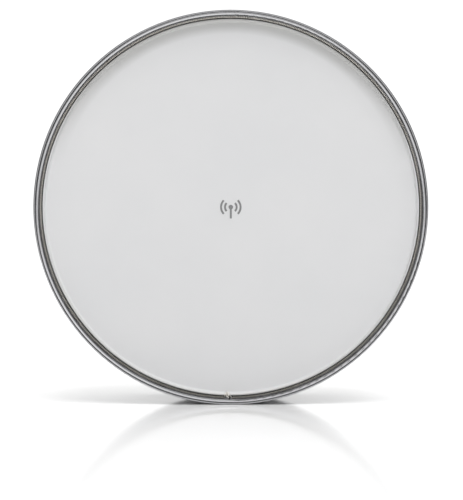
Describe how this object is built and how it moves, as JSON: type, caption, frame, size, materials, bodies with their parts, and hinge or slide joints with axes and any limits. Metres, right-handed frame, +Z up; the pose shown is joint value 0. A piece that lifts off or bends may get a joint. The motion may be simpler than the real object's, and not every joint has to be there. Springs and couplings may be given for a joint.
{
  "type": "shrouded dish antenna",
  "caption": "Shrouded parabolic dish antenna with a flat white radome held by a ring spring, on a tilting pole clamp.",
  "frame": {"origin": "on the axis of the pole that the clamp grips, at the middle of the clamp's height", "axes": "+Z up along the pole, the antenna's boresight along -Y, +X to the right as seen from the front"},
  "size_m": [0.52, 0.4369, 0.5312],
  "materials": {
    "radome_plastic": "satin UV-stable sheet, fine orange peel",
    "mark_ink": "matt grey print",
    "spring_steel": "drawn stainless wire",
    "rim_metal": "rolled and polished bead",
    "sheet_metal": "mill finish, drawn round",
    "dish_paint": "satin powder coat",
    "cast_metal": "as-cast, machined faces",
    "zinc_steel": "zinc plated",
    "galvanised": "hot-dip galvanised, spangled",
    "housing_plastic": "fine spark texture",
    "dark_plastic": "moulded black",
    "gasket_rubber": "matt",
    "absorber_foam": "open-cell foam",
    "board_laminate": "solder mask",
    "gold_brass": "passivated",
    "light_lens": "frosted lens",
    "label_film": "blank silver film"
  },
  "bodies": {
    "mast_mount": {"mast_bracket": "galvanised", "clamp_bolts": "zinc_steel", "pivot_bolt": "zinc_steel", "pivot_nut": "zinc_steel"},
    "rear_jaw": {"clamp_jaw": "galvanised", "clamp_nuts": "zinc_steel"},
    "antenna_head": {"radome_panel": "radome_plastic", "emblem": "mark_ink", "retaining_spring": "spring_steel", "spring_hooks": "spring_steel", "front_rim": "rim_metal", "rim_rivets": "rim_metal", "shroud_drum": "sheet_metal", "seam_strip": "sheet_metal", "seam_rivets": "rim_metal", "support_ring": "sheet_metal", "panel_gasket": "gasket_rubber", "absorber_lining": "absorber_foam", "rim_gasket": "gasket_rubber", "clamp_band": "sheet_metal", "band_bolt": "zinc_steel", "band_nut": "zinc_steel", "reflector_dish": "dish_paint", "dish_screws": "zinc_steel", "dish_hub": "cast_metal", "feed_tube": "housing_plastic", "feed_cap": "housing_plastic", "subreflector": "sheet_metal", "feed_dipole": "gold_brass", "feed_coax": "dark_plastic", "housing_base": "housing_plastic", "housing_cover": "housing_plastic", "housing_seal": "gasket_rubber", "housing_screws": "zinc_steel", "main_board": "board_laminate", "board_screws": "zinc_steel", "shield_can": "sheet_metal", "ethernet_jack": "dark_plastic", "reset_switch": "dark_plastic", "status_lights": "light_lens", "rating_plate": "label_film", "ground_screw": "gold_brass", "tilt_bracket": "galvanised", "hub_bolts": "zinc_steel", "pivot_sleeve": "zinc_steel", "lock_bolt": "zinc_steel", "lock_nut": "zinc_steel", "lock_sleeve": "zinc_steel"},
    "port_flap": {"port_door": "housing_plastic"},
    "reset_key": {"reset_button": "dark_plastic"}
  },
  "joints": [
    {"name": "elevation_tilt", "type": "hinge", "parent": "mast_mount", "child": "antenna_head", "pos_m": [0, -0.062, -0.018], "axis": [-1, 0, 0], "range_deg": [-20, 20]},
    {"name": "jaw_slide", "type": "slide", "parent": "mast_mount", "child": "rear_jaw", "axis": [0, 1, 0], "range_m": [0, 0.014]},
    {"name": "port_flap_hinge", "type": "hinge", "parent": "antenna_head", "child": "port_flap", "pos_m": [0, -0.1178, -0.0902], "axis": [1, 0, 0], "range_deg": [0, 100]},
    {"name": "reset_press", "type": "slide", "parent": "antenna_head", "child": "reset_key", "axis": [0, 0, 1], "range_m": [0, 0.0008], "stiffness_N_per_m": 400}
  ]
}
